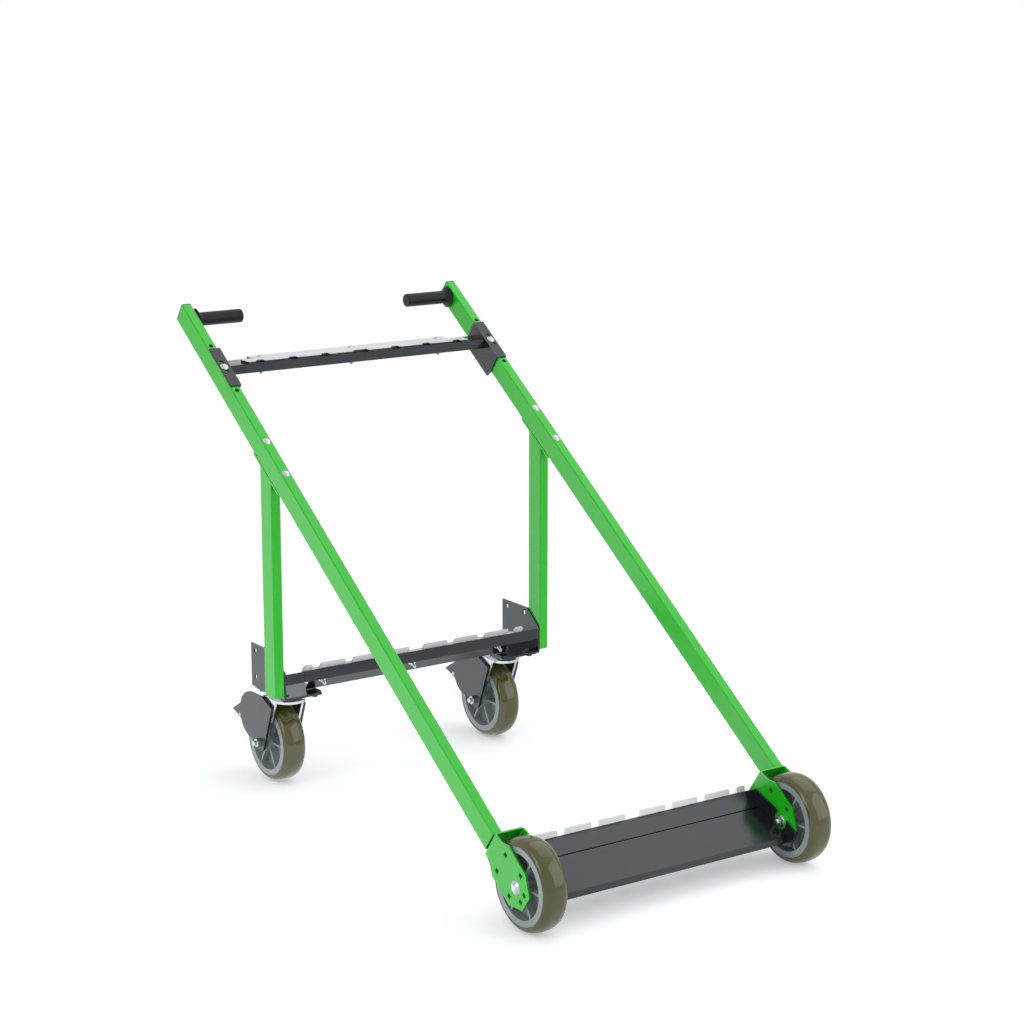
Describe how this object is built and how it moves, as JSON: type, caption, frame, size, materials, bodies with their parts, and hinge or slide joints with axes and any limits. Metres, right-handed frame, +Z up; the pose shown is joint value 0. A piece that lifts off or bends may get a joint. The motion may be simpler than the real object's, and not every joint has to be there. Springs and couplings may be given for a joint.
{
  "type": "panel trolley",
  "caption": "Sloping tube-frame trolley with fixed front wheels, braked swivel casters, push grips and notched bars that hold boards upright.",
  "frame": {"origin": "middle of the footprint, on the floor", "axes": "+X to the right seen from the toe, +Y from the front wheels to the grips, +Z up"},
  "size_m": [0.7932, 1.541, 1.1305],
  "materials": {
    "green_paint": "semi-gloss powder coat",
    "grey_paint": "satin powder coat",
    "zinc": "bright zinc plate",
    "strip_white": "smooth white plastic",
    "cap_black": "satin black plastic",
    "grip_rubber": "matte rubber",
    "core_grey": "moulded nylon",
    "tread_olive": "glossy polyurethane"
  },
  "bodies": {
    "frame": {"left_rail": "green_paint", "left_front_fork": "green_paint", "left_post": "green_paint", "left_post_head": "green_paint", "right_rail": "green_paint", "right_front_fork": "green_paint", "right_post": "green_paint", "right_post_head": "green_paint", "left_caster_bracket": "grey_paint", "right_caster_bracket": "grey_paint", "rear_crossbar": "grey_paint", "toe_bar": "grey_paint", "toe_plate": "grey_paint", "caster_plate_bolts": "grey_paint", "caster_plate_nuts": "grey_paint", "left_caster_plate": "grey_paint", "right_caster_plate": "grey_paint", "left_toe_cheek": "grey_paint", "right_toe_cheek": "grey_paint", "post_bolts": "zinc", "post_nuts": "zinc", "rear_strip_bolts": "zinc", "rear_strip_nuts": "zinc", "clamp_bolts": "zinc", "clamp_nuts": "zinc", "toe_strip_bolts": "zinc", "toe_strip_nuts": "zinc", "front_axle_bolts": "zinc", "front_axle_nuts": "zinc", "left_grip_peg": "zinc", "right_grip_peg": "zinc", "rear_strip": "strip_white", "toe_strip": "strip_white", "left_rail_cap": "cap_black", "right_rail_cap": "cap_black", "left_grip": "grip_rubber", "right_grip": "grip_rubber"},
    "upper_bar": {"upper_crossbar": "grey_paint", "left_clamp_bracket": "grey_paint", "right_clamp_bracket": "grey_paint", "upper_strip": "strip_white", "upper_strip_bolts": "zinc", "upper_strip_nuts": "zinc"},
    "left_front_wheel": {"left_front_tread": "tread_olive", "left_front_core": "core_grey"},
    "left_caster": {"left_caster_fork": "zinc", "left_brake_covers": "grey_paint", "left_caster_axle": "zinc"},
    "left_caster_wheel": {"left_caster_tread": "tread_olive", "left_caster_core": "core_grey"},
    "left_brake": {"left_brake_pedal": "grey_paint"},
    "right_front_wheel": {"right_front_tread": "tread_olive", "right_front_core": "core_grey"},
    "right_caster": {"right_caster_fork": "zinc", "right_brake_covers": "grey_paint", "right_caster_axle": "zinc"},
    "right_caster_wheel": {"right_caster_tread": "tread_olive", "right_caster_core": "core_grey"},
    "right_brake": {"right_brake_pedal": "grey_paint"}
  },
  "joints": [
    {"name": "upper_bar_slide", "type": "slide", "parent": "frame", "child": "upper_bar", "axis": [0, 0.8161, 0.5779], "range_m": [-0.016, 0.016]},
    {"name": "left_front_wheel_spin", "type": "hinge", "parent": "frame", "child": "left_front_wheel", "pos_m": [-0.3525, -0.67053, 0.1], "axis": [1, 0, 0], "continuous": true},
    {"name": "left_caster_swivel", "type": "hinge", "parent": "frame", "child": "left_caster", "pos_m": [-0.31, 0.39947, 0.225], "axis": [0, 0, 1], "continuous": true},
    {"name": "left_caster_wheel_spin", "type": "hinge", "parent": "left_caster", "child": "left_caster_wheel", "pos_m": [-0.31, 0.46247, 0.1], "axis": [1, 0, 0], "continuous": true},
    {"name": "left_brake_press", "type": "hinge", "parent": "left_caster", "child": "left_brake", "pos_m": [-0.31, 0.53448, 0.18599], "axis": [1, 0, 0], "range_deg": [-9.5, 0]},
    {"name": "right_front_wheel_spin", "type": "hinge", "parent": "frame", "child": "right_front_wheel", "pos_m": [0.3525, -0.67053, 0.1], "axis": [1, 0, 0], "continuous": true},
    {"name": "right_caster_swivel", "type": "hinge", "parent": "frame", "child": "right_caster", "pos_m": [0.31, 0.39947, 0.225], "axis": [0, 0, 1], "continuous": true},
    {"name": "right_caster_wheel_spin", "type": "hinge", "parent": "right_caster", "child": "right_caster_wheel", "pos_m": [0.31, 0.46247, 0.1], "axis": [1, 0, 0], "continuous": true},
    {"name": "right_brake_press", "type": "hinge", "parent": "right_caster", "child": "right_brake", "pos_m": [0.31, 0.53448, 0.18599], "axis": [1, 0, 0], "range_deg": [-9.5, 0]}
  ]
}
